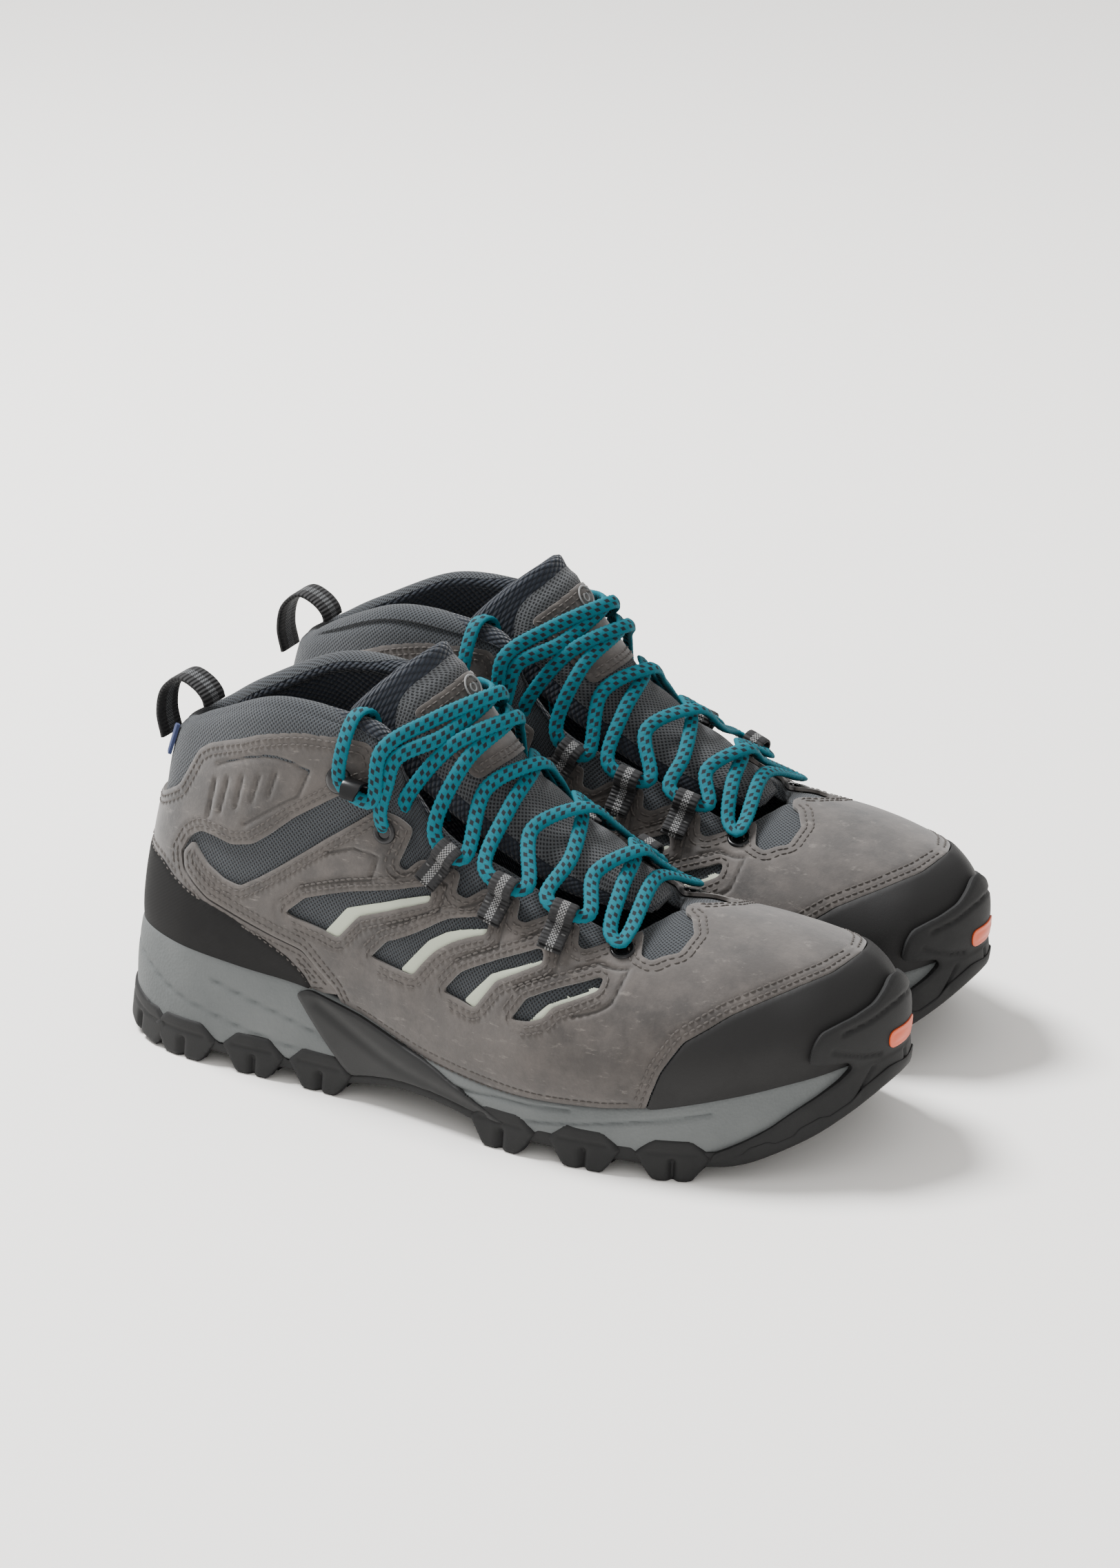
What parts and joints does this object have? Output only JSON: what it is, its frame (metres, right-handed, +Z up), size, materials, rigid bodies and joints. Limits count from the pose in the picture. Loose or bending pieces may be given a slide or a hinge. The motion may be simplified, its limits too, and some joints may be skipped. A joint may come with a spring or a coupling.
{
  "type": "hiking boots",
  "caption": "Pair of mid-height hiking boots with grey nubuck over mesh, black rubber toe, lugged sole and teal laces.",
  "frame": {"origin": "middle of the pair on the ground, under the lug bottoms", "axes": "+X from the heels to the toes, +Y towards the left boot, +Z up"},
  "size_m": [0.317, 0.2262, 0.166],
  "materials": {
    "tread_rubber": "matte moulded rubber",
    "band_rubber": "matte textured rubber film",
    "shank_plastic": "satin moulded plastic",
    "midsole_foam": "moulded foam with a fine pebble",
    "board": "pressed fibre board",
    "footbed_foam": "brushed textile over foam",
    "mesh_fabric": "open technical mesh",
    "lining_knit": "dark knit",
    "padding_foam": "open cell foam",
    "nubuck": "oiled nubuck with scuffs",
    "webbing": "ribbed narrow webbing",
    "emblem": "moulded rubber inlay",
    "label": "woven label",
    "lace_cord": "flat oval braid with dark flecks",
    "dark_metal": "gloss black lacquer"
  },
  "bodies": {
    "right_boot": {"right_outsole": "tread_rubber", "right_arch_shank": "shank_plastic", "right_midsole": "midsole_foam", "right_shank_plate": "shank_plastic", "right_lasting_board": "board", "right_footbed": "footbed_foam", "right_mesh_upper": "mesh_fabric", "right_lining": "lining_knit", "right_collar_padding": "padding_foam", "right_heel_counter": "board", "right_toe_puff": "board", "right_heel_band": "band_rubber", "right_ankle_leather": "nubuck", "right_lower_leather": "nubuck", "right_toe_cap": "band_rubber", "right_toe_emblem": "emblem", "right_label_tab": "label", "right_lace": "lace_cord", "right_hook_outer": "dark_metal", "right_hook_inner": "dark_metal", "right_lace_loop_outer_1": "webbing", "right_lace_loop_outer_2": "webbing", "right_lace_loop_outer_3": "webbing", "right_lace_loop_inner_1": "webbing", "right_lace_loop_inner_2": "webbing", "right_lace_loop_inner_3": "webbing"},
    "left_boot": {"left_outsole": "tread_rubber", "left_arch_shank": "shank_plastic", "left_midsole": "midsole_foam", "left_shank_plate": "shank_plastic", "left_lasting_board": "board", "left_footbed": "footbed_foam", "left_mesh_upper": "mesh_fabric", "left_lining": "lining_knit", "left_collar_padding": "padding_foam", "left_heel_counter": "board", "left_toe_puff": "board", "left_heel_band": "band_rubber", "left_ankle_leather": "nubuck", "left_lower_leather": "nubuck", "left_toe_cap": "band_rubber", "left_toe_emblem": "emblem", "left_label_tab": "label", "left_lace": "lace_cord", "left_hook_outer": "dark_metal", "left_hook_inner": "dark_metal", "left_lace_loop_outer_1": "webbing", "left_lace_loop_outer_2": "webbing", "left_lace_loop_outer_3": "webbing", "left_lace_loop_inner_1": "webbing", "left_lace_loop_inner_2": "webbing", "left_lace_loop_inner_3": "webbing"},
    "right_tongue_body": {"right_tongue": "mesh_fabric", "right_tongue_patch": "nubuck"},
    "right_pull_body": {"right_pull_loop": "webbing"},
    "left_tongue_body": {"left_tongue": "mesh_fabric", "left_tongue_patch": "nubuck"},
    "left_pull_body": {"left_pull_loop": "webbing"}
  },
  "joints": [
    {"name": "left_boot_lift", "type": "slide", "parent": "right_boot", "child": "left_boot", "axis": [0, 0, 1], "range_m": [0, 0.12]},
    {"name": "right_tongue_fold", "type": "hinge", "parent": "right_boot", "child": "right_tongue_body", "pos_m": [0.0685, -0.0552, 0.078], "axis": [0, 1, 0], "range_deg": [-8, 0], "stiffness_Nm_per_rad": 0.5},
    {"name": "right_pull_flex", "type": "hinge", "parent": "right_boot", "child": "right_pull_body", "pos_m": [-0.1315, -0.0552, 0.118], "axis": [0, 1, 0], "range_deg": [-30, 8], "stiffness_Nm_per_rad": 0.02},
    {"name": "left_tongue_fold", "type": "hinge", "parent": "left_boot", "child": "left_tongue_body", "pos_m": [0.05933, 0.05628, 0.078], "axis": [-0.0393, 0.9992, 0], "range_deg": [-8, 0], "stiffness_Nm_per_rad": 0.5},
    {"name": "left_pull_flex", "type": "hinge", "parent": "left_boot", "child": "left_pull_body", "pos_m": [-0.14051, 0.04843, 0.118], "axis": [-0.0393, 0.9992, 0], "range_deg": [-30, 8], "stiffness_Nm_per_rad": 0.02}
  ]
}
